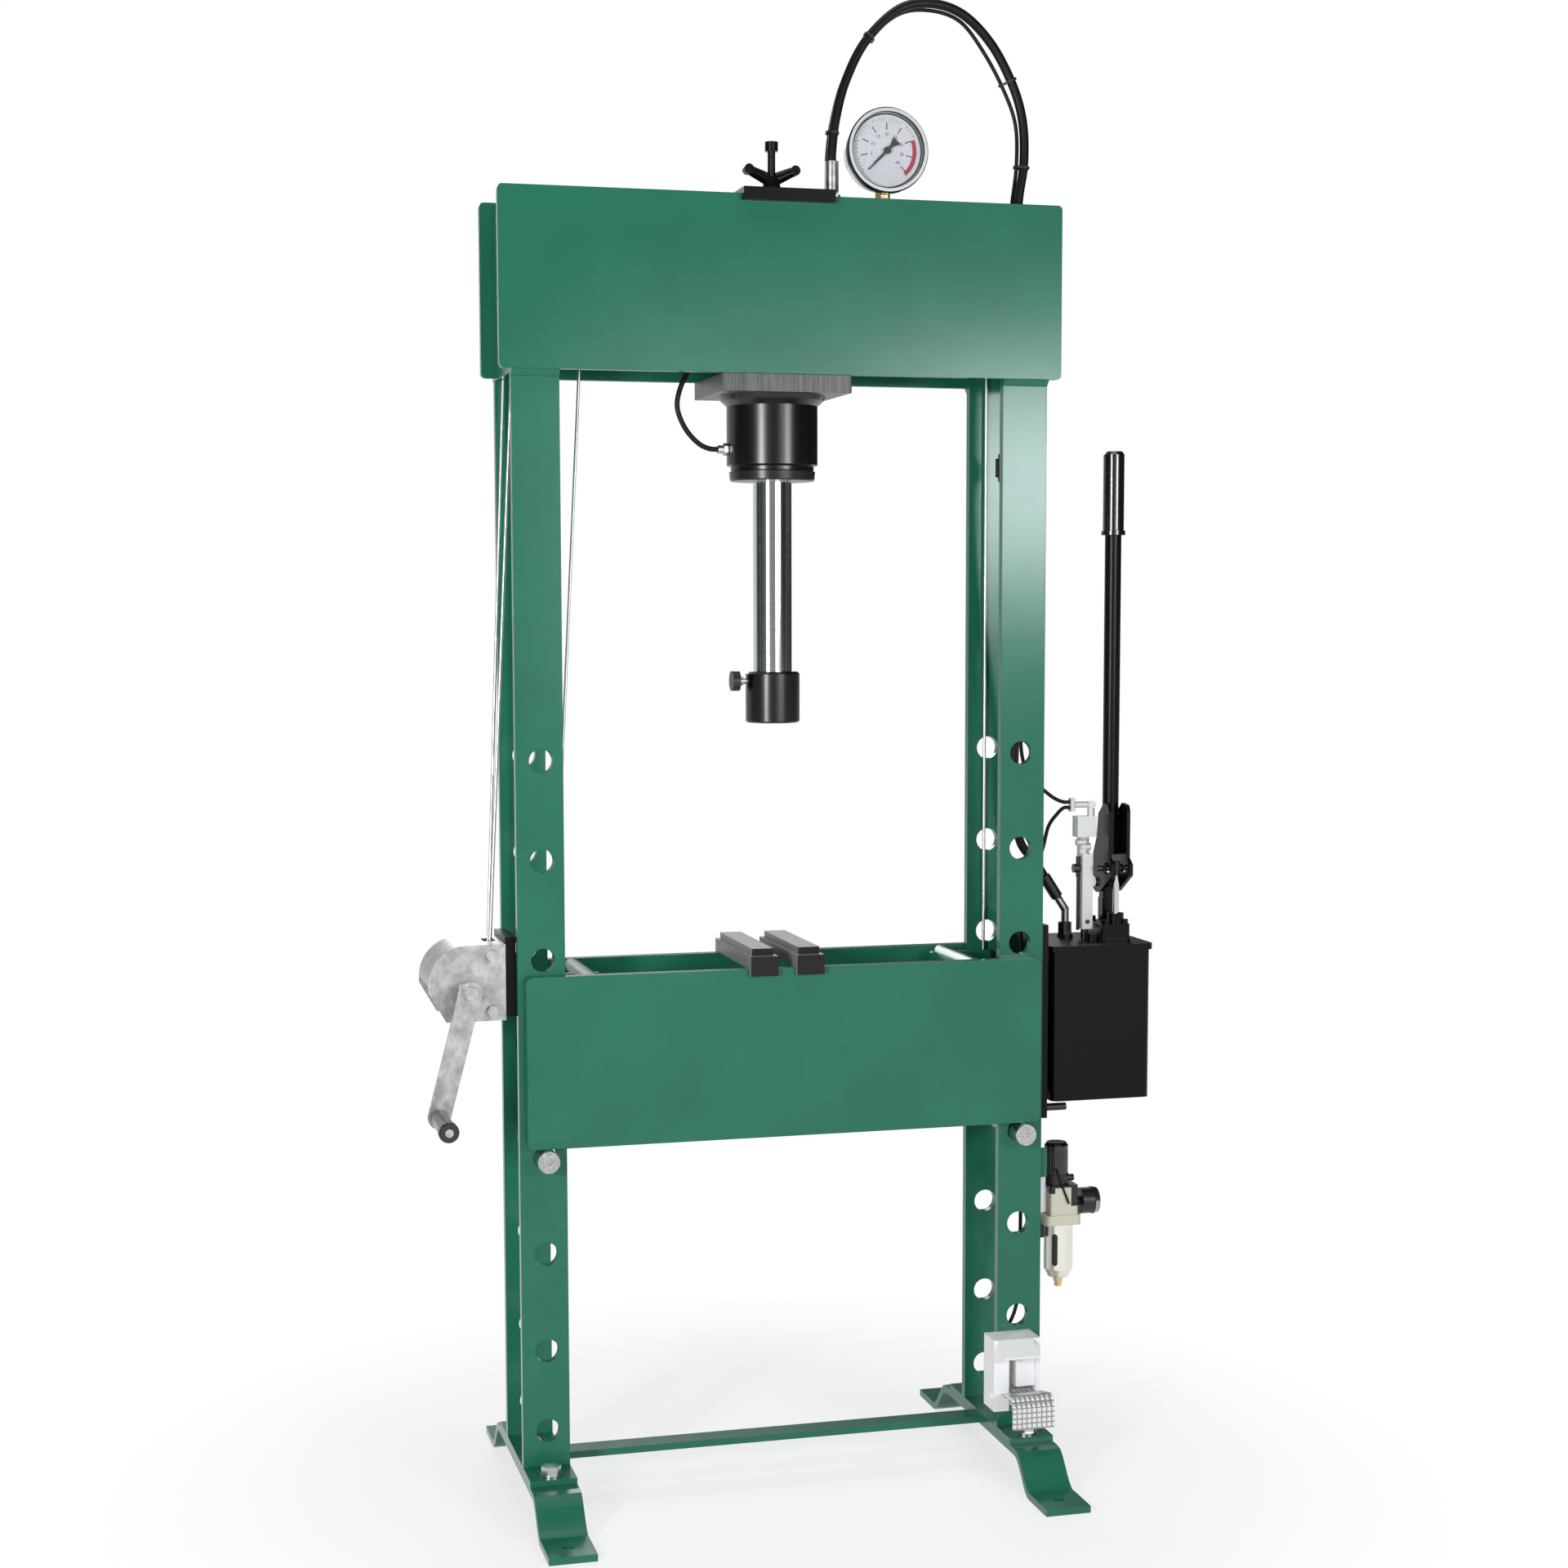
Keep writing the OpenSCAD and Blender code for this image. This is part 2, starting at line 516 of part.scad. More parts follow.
module winch_housing() color(steel) {
  cheek(wy0, wy0+3);
  cheek(wy1-3, wy1);
  difference() {
    translate([case_x, wy1-3, win_z]) rotate([90, 0, 0]) linear_extrude(wy1-wy0-6) union() {
      difference() {
        translate([-2, 4]) intersection() { circle(50); translate([-50, 0]) square(50); }
        translate([-2, 4]) circle(47.5);
      }
      translate([-2, 51.5]) square([47, 2.5]);
      translate([42, -42]) square([3, 96]);
    }
    bx(drum_pt[0]-7, drum_pt[0]+9, ya-8, yd+8, win_z+40, win_z+60);
  }
  for (p = [[28, 40], [28, -30]]) {
    yc(case_x+p[0], wy0-5, wy0, win_z+p[1], 8, $fn = 6);
    yc(case_x+p[0], wy1, wy1+5, win_z+p[1], 8, $fn = 6);
  }
}
module winch_bracket() color(black)
  bx(case_x+45, -bar_out, wy0+4, wy1-2, win_z-38, win_z+62);
module winch_drum() color(steel) {
  yc(win_x, wy0-10, wy1+6, win_z, 9-run_gap);
  yc(win_x, ya-9, yd+9, win_z, drum_r-rr-0.1);
  for (y = [ya-12, yd+9]) yc(win_x, y, y+3, win_z, drum_r+3);
}
crank_a = 14.8;                       // crank leans this far from straight down
arm_y = -(bed_y + bed_t + 5);         // rear face of the crank arm, clear of the bed
module winch_crank() color(steel) translate([win_x, 0, win_z]) rotate([0, crank_a, 0]) {
  yc(0, arm_y, wy0-10, 0, 11);
  yc(0, arm_y-6, arm_y, 0, 14);
  bx(-14, 14, arm_y-6, arm_y, -crank_l, 0);
  yc(0, arm_y-6, arm_y, -crank_l, 14);
  yc(0, arm_y-14, arm_y-6, 0, 9, $fn = 6);
  yc(0, arm_y-101, arm_y-6, -crank_l, 5);
}
grip_p = [win_x - crank_l*sin(crank_a), win_z - crank_l*cos(crank_a)];
module winch_grip() color(black) difference() {
  union() {
    yc(grip_p[0], arm_y-99, arm_y-9, grip_p[1], 11);
    yc(grip_p[0], arm_y-97, arm_y-85, grip_p[1], 12.5);
  }
  yc(grip_p[0], arm_y-102, arm_y-5, grip_p[1], 5+run_gap);
}

// --- pump --------------------------------------------------------------------------------
module pump_bracket() color(black) {
  bx(bar_out, bar_out+8, -yo, yo, tank_z-20, deck+30);
  bx(bar_out+8, tank_x, -38, 38, tank_z+10, lid_z-20);
}
module pump_tank() color(black) difference() {
  rbox(tank_x, tank_x+tank_w, -tank_d/2, tank_d/2, tank_z, lid_z, 9);
  rbox(tank_x+3, tank_x+tank_w-3, -tank_d/2+3, tank_d/2-3, tank_z+3, lid_z+1, 6);
}
module pump_lid() color(black)
  rbox(tank_x-3, tank_x+tank_w+3, -tank_d/2-3, tank_d/2+3, lid_z, deck, 9);
module pump_block() color(black) difference() {
  union() {
    rbox(lev_x-24, lev_x+16, -30, 34, deck, deck+22, 4);
    zc(lev_x, plun_y, deck+22, deck+36, 11);
    zc(lev_x-34, -20, deck, deck+10, 9);
    for (x = [lev_x-17, lev_x+9.5], y = [-23.5, 26.5]) hexa(x, y, deck+22, deck+28, 10);
    bx(lev_x-8, lev_x+8, piv_y-7, piv_y+7, deck+22, piv_z);
    bx(lev_x-9, lev_x+15, piv_y-8, piv_y+8, deck+22, piv_z-22);
    xc(lev_x-8, lev_x+8, piv_y, piv_z, 10);
  }
  zc(lev_x, plun_y, deck+4, deck+37, plun_r+run_gap);
  xc(lev_x-10, lev_x+10, piv_y, piv_z, 5+run_gap);
}
// plunger with its eye and cross pin
module pump_plunger() {
  color(chrome) zc(lev_x, plun_y, deck+23, plun_z-8, plun_r);
  color(black) zc(lev_x, plun_y, plun_z-10, plun_z+9, 5.5);
  color(black) xc(lev_x-28, lev_x+22, plun_y, plun_z, 4);
  color(black) for (s = [-1, 1]) xc(lev_x+s*(fork_in+cheek_t+1.6)-1.3, lev_x+s*(fork_in+cheek_t+1.6)+1.3,
    plun_y, plun_z, 7.6);
}
// two cheeks on the lever; the plunger's pin runs in their slots
module fork_cheek(x) side(x, x+cheek_t) translate([piv_y, piv_z]) difference() {
  union() {
    polygon([[-44, 98], [-40, 106], [-24, 108], [-6, 93], [0, 60], [11, 39], [13, 0], [0, -15],
      [-15, -12], [-55, 12], [-55, 27], [-44, 35]]);
    circle(14);
  }
  circle(5);
  translate([-pin_out-14, pin_up-6]) square([25, 10.6]);
}
module pump_lever() color(black) {
  fork_cheek(lev_x-fork_in-cheek_t);
  difference() {
    fork_cheek(lev_x+fork_in);
    for (k = [0:4]) xc(lev_x+fork_in-1, lev_x+fork_in+cheek_t+1, piv_y-15, piv_z+50+10.8*k, 2.2);
  }
  zc(lev_x, grip_y, piv_z+38, lever_top-2, 11);
}
module lever_grip() color(black) difference() {
  union() {
    zc(lev_x, grip_y, lever_top-111, lever_top-4, 14);
    zc(lev_x, grip_y, lever_top-4, lever_top, 14, 11);
    zc(lev_x, grip_y, lever_top-111, lever_top-105, 16);
  }
  zc(lev_x, grip_y, lever_top-112, lever_top-2, 11);
}
module lever_pivot_pin() color(steel) {
  xc(lev_x-fork_in-cheek_t-2, lev_x+fork_in+cheek_t+2, piv_y, piv_z, 5);
  for (x = [lev_x-fork_in-cheek_t-3, lev_x+fork_in+cheek_t]) xc(x, x+3, piv_y, piv_z, 7);
}
out_x = tank_x + 53;
out_y = 30;
// hydraulic fittings that stay on the pump and frame
module pump_fittings() color(steel) {
  zc(out_x, out_y, deck, deck+4, 11);
  hexa(out_x, out_y, deck+4, deck+20, 17);
  zc(out_x, out_y, deck+20, deck+37, 5.5);
  translate([out_x, out_y, deck+37]) sphere(5.6, $fn = 32);
  rod([out_x, out_y, deck+37], [407, out_y, deck+55], 5.5);
  rod([407, out_y, deck+55], [388, out_y, deck+84], 8);
  hexa(union_x, 0, 1319+hz, 1343+hz, 22);
  zc(union_x, 0, 1313+hz, 1349+hz, 8.7);
  xc(bar_out+8, bar_out+46, -40, tank_z-12, 5);
}
mot_x = tank_x + 71;
mot_y = 4;
// air cylinder of the pump, with its valve block and the joint of the air tubes
module air_motor() {
  color(steel) {
    bx(mot_x-7.5, mot_x+7.5, mot_y-11, mot_y+11, deck+14, deck+116);
    zc(mot_x-3, mot_y, deck+116, deck+139, 8);
    xc(mot_x-16, mot_x-3, mot_y-8, deck+132, 4.5);
    xc(mot_x-8, mot_x+6, mot_y-3, deck+125, 5);
    bx(mot_x-16, mot_x+11, mot_y-14, mot_y+6, deck+139, deck+167);
    zc(mot_x+4, mot_y-10, deck+167, deck+183, 5);
    yc(mot_x+4, mot_y-15.5, mot_y-4.5, deck+183, 5.4);
    xc(mot_x-21, mot_x+4, mot_y-10, deck+183, 4.3);
    rbox(mot_x-27, mot_x-20, mot_y-15, mot_y-5, deck+174, deck+192, 2);
  }
  color(black) {
    zc(mot_x, mot_y, deck, deck+14, 5);
    zc(mot_x-9.5, mot_y, deck+12, deck+87, 2.3);
    xc(mot_x-17, mot_x-6, mot_y, deck+96, 6);
    zc(mot_x-9.5, mot_y, deck+84, deck+112, 3.2);
  }
  color(black) yc(mot_x, mot_y-12, mot_y-11, deck+24, 3);
}
module air_tubes() color(black) {
  cord(fit(tube_a, 2, 5), 2.5, 2);
  cord(fit(tube_b, 0, 6), 2.5, 2);
}

// --- air unit --------------------------------------------------------------------------------
module frl_bracket() color(steel) {
  bx(bar_out, bar_out+4, -60, -10, frl_z+3, frl_z+95);
  bx(bar_out+4, frl_x-22, frl_y-8, frl_y-5, frl_z+3, frl_z+91);
  bx(frl_x-22, frl_x-19, frl_y-8, frl_y-5, frl_z+3, frl_z+38);
}
module frl_body() color([0.80, 0.77, 0.68]) {
  rbox(frl_x-19, frl_x+21, frl_y-20, frl_y+20, frl_z, frl_z+40, 4);
  rbox(frl_x-27, frl_x+25, frl_y-22, frl_y+22, frl_z-13.5, frl_z, 6);
}
module frl_knob() color(black) difference() {
  union() {
    zc(frl_x-4, frl_y, frl_z+54, frl_z+93, 16);
    zc(frl_x-4, frl_y, frl_z+93, frl_z+97, 16, 13);
  }
  for (a = [0:15:345]) translate([frl_x-4, frl_y, frl_z+53]) rotate([0, 0, a])
    translate([16.6, 0, 0]) cylinder(h = 34, r = 1.2, $fn = 16);
}
// metal bowl guard with a rounded sight slot
module bowl_shell() color([0.78, 0.77, 0.72]) translate([frl_x, frl_y, frl_z]) difference() {
  rotate_extrude() polygon([[0, -13.5], [19.5, -13.5], [19.5, -76], [14, -87], [0, -87]]);
  rotate([0, 0, 235]) {
    bx(15.5, 25, -4, 4, -66, -30);
    for (z = [-66, -30]) xc(15.5, 25, 0, z, 4);
  }
}
module frl_bowl() {
  bowl_shell();
  color(brass) hexa(frl_x, frl_y, frl_z-94, frl_z-87, 12);
  color(brass) zc(frl_x, frl_y, frl_z-101, frl_z-94, 5);
}
// bonnet under the knob, the small gauge and the outlet
module frl_gauge() {
  color(black) {
    zc(frl_x-4, frl_y, frl_z+40, frl_z+54, 17);
    xc(frl_x+4, frl_x+17, frl_y-9, frl_z+49, 4.5);
    xc(frl_x+21, frl_x+30, frl_y, frl_z+14, 6);
    xc(frl_x+30, frl_x+47, frl_y, frl_z+14, 17.5);
    zc(frl_x-27, frl_y, frl_z-32, frl_z-13.5, 6.5);
    xc(bar_out, frl_x-27, frl_y, frl_z-26, 5);
  }
  color(chrome) xc(frl_x+47, frl_x+54, frl_y, frl_z+14, 18.5, 17);
}

// --- foot pedal ------------------------------------------------------------------------------
module pedal_valve() color([0.86, 0.86, 0.87]) {
  difference() {
    bx(ped_x0, ped_x0+ped_w, ped_y, -yo, 92, 188);
    bx(ped_x0+4, ped_x0+ped_w-6, ped_y-1, ped_y+22, 86, 184);
  }
  // front flap, sloping hood and the valve inside
  bx(ped_x0, ped_x0+21, ped_y, ped_y+3, 92, 188);
  side(ped_x0+5, ped_x0+ped_w-10)
    polygon([[ped_y, 188], [ped_y, 184], [ped_y-28, 169], [ped_y-29, 172]]);
  bx(ped_x0+32, ped_x0+ped_w-5, ped_y+3, ped_y+22, ped_pin_z+11, 172);
  xc(ped_x0-3, ped_x0+ped_w+3, ped_y+10, ped_pin_z, 4);
}
module pedal() color([0.82, 0.82, 0.82]) translate([0, ped_y+10, ped_pin_z]) difference() {
  union() {
    side(ped_x0+7, ped_x0+64) polygon([[-16, 6], [-44, 12.5], [-52, 13.5], [-57, 12], [-65.5, 0],
      [-66, -28], [-62, -28], [-61.5, -1], [-55, 8], [-52, 9], [-44, 8], [-16, 1]]);
    side(ped_x0+25, ped_x0+ped_w-8) polygon([[-16, 6], [6, 5], [6, -5], [-16, 1]]);
    xc(ped_x0+25, ped_x0+ped_w-8, 0, 0, 7);
  }
  xc(ped_x0, ped_x0+ped_w, 0, 0, 4+run_gap);
}

// --- which node to draw ----------------------------------------------------------------------
head_front_plate();
head_rear_plate();
head_side_plates();
front_uprights();
rear_uprights();
foot_frame();
base_plates();
base_bolts();
bed_front_plate();
bed_rear_plate();
bed_spacers();
bed_pins();
press_blocks();
ram_mount_plate();
cylinder_body();  // cylinder
ram_rod();
ram_head();
ram_thumbscrew();
manifold();
clamp_saddle();
clamp_screw();
wing_nut();
hose_fittings();
gauge_case();
gauge_stem();
gauge_dial();
gauge_glass();
gauge_pointer();
side_hose();
upper_hose();
lower_hose();
air_line();
left_sheaves();
right_sheave();
sheave_axles();
bed_ropes();
winch_ropes();
winch_housing();
winch_bracket();
winch_drum();
winch_crank();
winch_grip();
pump_bracket();
pump_tank();
pump_lid();
pump_block();
pump_plunger();
pump_lever();
lever_grip();
lever_pivot_pin();
pump_fittings();
air_motor();
air_tubes();
frl_bracket();
frl_body();
frl_knob();
frl_bowl();
frl_gauge();
pedal_valve();
pedal();
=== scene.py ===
"""Looks of the shop press: finishes, hoses, dial markings, floor, lamps and camera.

Lengths are in metres, in the same frame as the CAD model.
"""

import math
from functools import reduce

import bpy
from mathutils import Matrix, Vector


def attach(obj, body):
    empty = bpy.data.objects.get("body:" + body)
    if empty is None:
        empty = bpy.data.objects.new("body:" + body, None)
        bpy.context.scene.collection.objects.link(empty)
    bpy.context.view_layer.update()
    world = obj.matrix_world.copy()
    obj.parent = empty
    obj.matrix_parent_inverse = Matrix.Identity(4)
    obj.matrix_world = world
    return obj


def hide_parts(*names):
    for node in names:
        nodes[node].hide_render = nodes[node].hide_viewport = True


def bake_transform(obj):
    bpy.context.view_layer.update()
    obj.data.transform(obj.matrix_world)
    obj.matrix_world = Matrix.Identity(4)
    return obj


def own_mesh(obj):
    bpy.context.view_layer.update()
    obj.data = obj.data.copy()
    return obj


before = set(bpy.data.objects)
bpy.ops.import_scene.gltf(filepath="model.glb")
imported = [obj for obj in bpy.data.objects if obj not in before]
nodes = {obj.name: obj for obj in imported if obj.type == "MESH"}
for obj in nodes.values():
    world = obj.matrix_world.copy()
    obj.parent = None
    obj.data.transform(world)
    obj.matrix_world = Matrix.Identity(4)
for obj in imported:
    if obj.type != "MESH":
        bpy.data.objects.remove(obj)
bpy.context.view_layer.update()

MM = 0.001


def mm(*values):
    return Vector(values) * MM


# ---------------------------------------------------------------- places and colours

DIAL = Vector((0.147, 0.0, 1.730))    # centre of the gauge
DIAL_Y = -0.02158                     # just in front of the dial
BEZEL_INNER, BEZEL_OUTER = 0.046, 0.055
BOWL_AXIS = Vector((0.390, -0.030))   # X and Y of the upright axis of the air unit's bowl
SLOT_R = 0.0185                       # inside this radius the bowl guard is its slot, painted dark as shade
SLOT_Z = 0.262                        # and above this height
DRAIN_Z = 0.2475                      # below this height the bowl is its brass drain
STUD_PITCH = 0.0068                   # of the raised squares on the treadle

GREEN = (0.018, 0.150, 0.092)
BLACK = (0.010, 0.010, 0.011)
CHROME = (0.86, 0.87, 0.88)
BRASS = (0.70, 0.52, 0.25)
STEEL = (0.60, 0.60, 0.61)
WHITE = (1, 1, 1, 1)

# ---------------------------------------------------------------- material nodes


def new_material(name):
    mat = bpy.data.materials.new(name)
    mat.use_nodes = True
    tree = mat.node_tree
    return mat, tree, tree.nodes["Principled BSDF"]


def feed(tree, node, inputs):
    """Give a node its inputs: a socket is linked, and any other value is set."""
    for key, value in inputs.items():
        if isinstance(value, bpy.types.NodeSocket):
            tree.links.new(value, node.inputs[key])
        else:
            node.inputs[key].default_value = value


def add(tree, kind, inputs, **settings):
    node = tree.nodes.new(kind)
    for key, value in settings.items():
        setattr(node, key, value)
    feed(tree, node, inputs)
    return node


def calc(tree, operation, *values):
    node = add(tree, "ShaderNodeMath", dict(enumerate(values)), operation=operation)
    return node.outputs[0]


def fold(tree, operation, values):
    """One operation taken over all the values in turn."""
    return reduce(lambda total, value: calc(tree, operation, total, value), values)


def object_point(tree):
    return tree.nodes.new("ShaderNodeTexCoord").outputs["Object"]


def axes(tree, vector):
    """The X, Y and Z of a vector."""
    return add(tree, "ShaderNodeSeparateXYZ", {0: vector}).outputs


def from_axis(tree, point, centres):
    """The squared distance of a point from an axis, which centres gives as two coordinates."""
    squares = []
    for axis, centre in centres.items():
        shift = calc(tree, "SUBTRACT", point[axis], centre)
        squares.append(calc(tree, "MULTIPLY", shift, shift))
    return calc(tree, "ADD", *squares)


def noise(tree, scale, detail=2.0, roughness=0.5, vector=None):
    node = add(tree, "ShaderNodeTexNoise", {
        "Vector": vector or object_point(tree), "Scale": scale, "Detail": detail,
        "Roughness": roughness})
    return node.outputs["Fac"]


def stretch(tree, x, y, z):
    node = add(tree, "ShaderNodeMapping", {"Vector": object_point(tree), "Scale": (x, y, z)})
    return node.outputs["Vector"]


def ramp(tree, fac, stops):
    node = add(tree, "ShaderNodeValToRGB", {"Fac": fac})
    marks = node.color_ramp.elements
    while len(marks) < len(stops):
        marks.new(0.5)
    for mark, (place, color) in zip(marks, stops):
        mark.position = place
        mark.color = (*color, 1.0)
    return node.outputs["Color"]


def rescale(tree, value, start=0.0, end=1.0, low=0.0, high=1.0, curve="LINEAR"):
    """The value moved from the range start to end into the range low to high."""
    node = add(tree, "ShaderNodeMapRange", {
        "Value": value, "From Min": start, "From Max": end, "To Min": low, "To Max": high},
        interpolation_type=curve)
    return node.outputs["Result"]


def vary(tree, fac, low, high):
    """From low to high with fac, or the plain number where they are equal."""
    return low if low == high else rescale(tree, fac, low=low, high=high)


def mix_shader(tree, fac, first, second):
    return add(tree, "ShaderNodeMixShader", {0: fac, 1: first, 2: second}).outputs["Shader"]


def relief(tree, shader, height, strength, distance, edge=0.0):
    """Bump from a height, with the edges of the solid rounded by the radius edge."""
    inputs = {"Height": height, "Strength": strength, "Distance": distance}
    if edge:
        bevel = add(tree, "ShaderNodeBevel", {"Radius": edge}, samples=4)
        inputs["Normal"] = bevel.outputs["Normal"]
    feed(tree, shader, {"Normal": add(tree, "ShaderNodeBump", inputs).outputs["Normal"]})


# ---------------------------------------------------------------- kinds of finish


def painted(name, color, rough, grain=900.0, strength=0.12, edge=0.0012, spread=0.06, specular=0.5):
    """Powder coat: one colour in faint patches, with the fine orange peel of baked paint."""
    mat, tree, shader = new_material(name)
    patch = noise(tree, 9.0, 3.0)
    shade = [tuple(c * k for c in color) for k in (1 - spread, 1 + spread)]
    feed(tree, shader, {
        "Base Color": ramp(tree, patch, [(0.35, shade[0]), (0.65, shade[1])]),
        "Roughness": rough, "Specular IOR Level": specular})
    relief(tree, shader, noise(tree, grain, 2.0), strength, 0.0004, edge)
    return mat


def metal(name, color, rough, grain=(1, 1, 1), scale=60.0, strength=0.04, spread=0.1, depth=0.9):
    """Bare or plated metal, with streaks that run along the axis where grain is smallest.

    spread is how far the roughness varies, and depth is the share of the colour left in the dark
    streaks. With no strength there is neither bump nor rounded edge.
    """
    mat, tree, shader = new_material(name)
    streak = noise(tree, scale, 4.0, 0.6, stretch(tree, *grain))
    tone = [tuple(c * k for c in color) for k in (depth, 1.0)]
    feed(tree, shader, {
        "Metallic": 1.0,
        "Roughness": vary(tree, streak, max(rough - spread, 0.02), rough + spread),
        "Base Color": ramp(tree, streak, [(0.3, tone[0]), (0.7, tone[1])])})
    if strength:
        relief(tree, shader, streak, strength, 0.0002, 0.0004)
    return mat


def plain(name, color, rough, edge=0.0, specular=0.5):
    """Plastic, rubber or print with a faint grain."""
    mat, tree, shader = new_material(name)
    grain = noise(tree, 500.0, 2.0)
    tone = [tuple(c * k for c in color) for k in (0.92, 1.08)]
    feed(tree, shader, {
        "Specular IOR Level": specular,
        "Roughness": vary(tree, grain, rough - 0.05, rough + 0.05),
        "Base Color": ramp(tree, grain, [(0.3, tone[0]), (0.7, tone[1])])})
    relief(tree, shader, grain, 0.05, 0.0002, edge)
    return mat


COMPARE = {">": "GREATER_THAN", "<": "LESS_THAN"}


def by_place(name, base, other, regions):
    """The finish base, and other in the regions. A finish is a colour, metallic and roughness.

    A region is a list of tests that all hold in it: an axis, ">" or "<", and a coordinate.
    """
    mat, tree, shader = new_material(name)
    point = axes(tree, object_point(tree))
    inside = []
    for tests in regions:
        passed = [calc(tree, COMPARE[sign], point[axis], edge) for axis, sign, edge in tests]
        inside.append(fold(tree, "MULTIPLY", passed))
    place = fold(tree, "MAXIMUM", inside)
    feed(tree, shader, {
        "Metallic": vary(tree, place, base[1], other[1]),
        "Roughness": vary(tree, place, base[2], other[2]),
        "Base Color": ramp(tree, place, [(0.0, base[0]), (1.0, other[0])])})
    return mat


def bowl_material():
    """Cast bowl guard with a brass drain; inside its sight slot the bowl is painted dark as shade
    for its unlit inside.
    """
    mat, tree, shader = new_material("bowl_guard")
    point = axes(tree, object_point(tree))
    inside = calc(tree, "LESS_THAN",
                  from_axis(tree, point, {"X": BOWL_AXIS.x, "Y": BOWL_AXIS.y}), SLOT_R ** 2)
    # painted shade: the floor of the sight slot is near black and not metallic, for the unlit
    # inside of the bowl
    slot_painted_shade = calc(tree, "MULTIPLY", inside, calc(tree, "GREATER_THAN", point["Z"], SLOT_Z))
    # inputs 6 and 7 and output 2 of a Mix node are its colours
    tint = add(tree, "ShaderNodeMix", {
        0: calc(tree, "LESS_THAN", point["Z"], DRAIN_Z),
        6: ramp(tree, slot_painted_shade, [(0.0, (0.84, 0.82, 0.75)), (1.0, (0.02, 0.02, 0.02))]),
        7: (*BRASS, 1.0)}, data_type="RGBA")
    feed(tree, shader, {
        "Base Color": tint.outputs[2], "Metallic": vary(tree, slot_painted_shade, 0.85, 0.0),
        "Roughness": 0.35})
    return mat


def bezel_reflection_material():
    """Polished steel ring; the dark lines at its rolled edges are painted reflection."""
    mat, tree, shader = new_material("gauge_bezel")
    point = axes(tree, object_point(tree))
    square = from_axis(tree, point, {"X": DIAL.x, "Z": DIAL.z})
    place = rescale(tree, calc(tree, "POWER", square, 0.5), BEZEL_INNER, BEZEL_OUTER)
    # painted reflection: dark bands at the inner and outer edge of the ring, where its curve would
    # mirror a dark room
    dark, pale = (0.025, 0.025, 0.025), (0.86, 0.87, 0.88)
    rings = [(0.0, dark), (0.22, dark), (0.30, pale), (0.66, pale), (0.74, dark), (1.0, dark)]
    feed(tree, shader, {
        "Base Color": ramp(tree, place, rings), "Metallic": 0.5, "Roughness": 0.20,
        "Specular IOR Level": 0.1})
    return mat


def face_lit_material(name, dark, lit_tone):
    """Hot-rolled bar, dark on its sides and rubbed pale on the faces that carry work."""
    # Hot-rolled steel with a fine grain, pale on its top and its X-facing sides and dark on its
    # other faces: painted light and shade by the way each face turns.
    mat, tree, shader = new_material(name)
    shape = tree.nodes.new("ShaderNodeNewGeometry")
    facing = axes(tree, shape.outputs["True Normal"])
    grain = noise(tree, 140.0, 4.0, 0.6)
    # painted light: faces turned up or to the sides are painted pale as lit, the front, back and
    # underside stay dark as shade; only the grain is the steel's own
    sides = calc(tree, "MULTIPLY", calc(tree, "ABSOLUTE", facing["X"]), 0.75)
    painted_light = calc(tree, "MULTIPLY_ADD", grain, 0.3, calc(tree, "MAXIMUM", facing["Z"], sides))
    feed(tree, shader, {
        "Base Color": ramp(tree, painted_light, [(0.25, dark), (0.98, lit_tone)]), "Roughness": 0.42,
        "Specular IOR Level": 0.15})
    relief(tree, shader, grain, 0.1, 0.0003, 0.001)
    return mat


def sawn_material(name, dark, light):
    """Steel plate with the upright marks of the saw on its cut edges."""
    mat, tree, shader = new_material(name)
    lines = noise(tree, 420.0, 3.0, 0.7, stretch(tree, 1, 1, 0.04))
    feed(tree, shader, {
        "Base Color": ramp(tree, lines, [(0.30, dark), (0.62, light)]), "Roughness": 0.40})
    relief(tree, shader, lines, 0.15, 0.0003, 0.001)
    return mat


def treadle_material():
    """Pressed plate with rows of small raised squares; the gaps between them are painted dark as
    shade.
    """
    mat, tree, shader = new_material("treadle_plate")
    point = axes(tree, object_point(tree))
    flat = add(tree, "ShaderNodeCombineXYZ", {0: point["X"], 1: point["Z"]})
    cells = add(tree, "ShaderNodeTexVoronoi", {
        "Vector": flat.outputs[0], "Scale": 1 / STUD_PITCH, "Randomness": 0.0},
        voronoi_dimensions="2D", distance="CHEBYCHEV")
    stud = cells.outputs["Distance"]
    bump = add(tree, "ShaderNodeBump", {"Height": stud, "Strength": 0.8, "Distance": 0.0012},
               invert=True)
    # painted shade: pale on the raised squares, dark in the recessed gaps between them
    feed(tree, shader, {
        "Base Color": ramp(tree, stud, [(0.30, (0.84, 0.84, 0.85)), (0.44, (0.30, 0.30, 0.31))]),
        "Metallic": 0.6, "Roughness": 0.34, "Normal": bump.outputs["Normal"]})
    return mat


def glass_material():
    mat, tree, shader = new_material("gauge_window")
    feed(tree, shader, {"Base Color": (0.95, 0.97, 1.0, 1.0), "Roughness": 0.02, "Alpha": 0.04})
    return mat


# ---------------------------------------------------------------- finishes

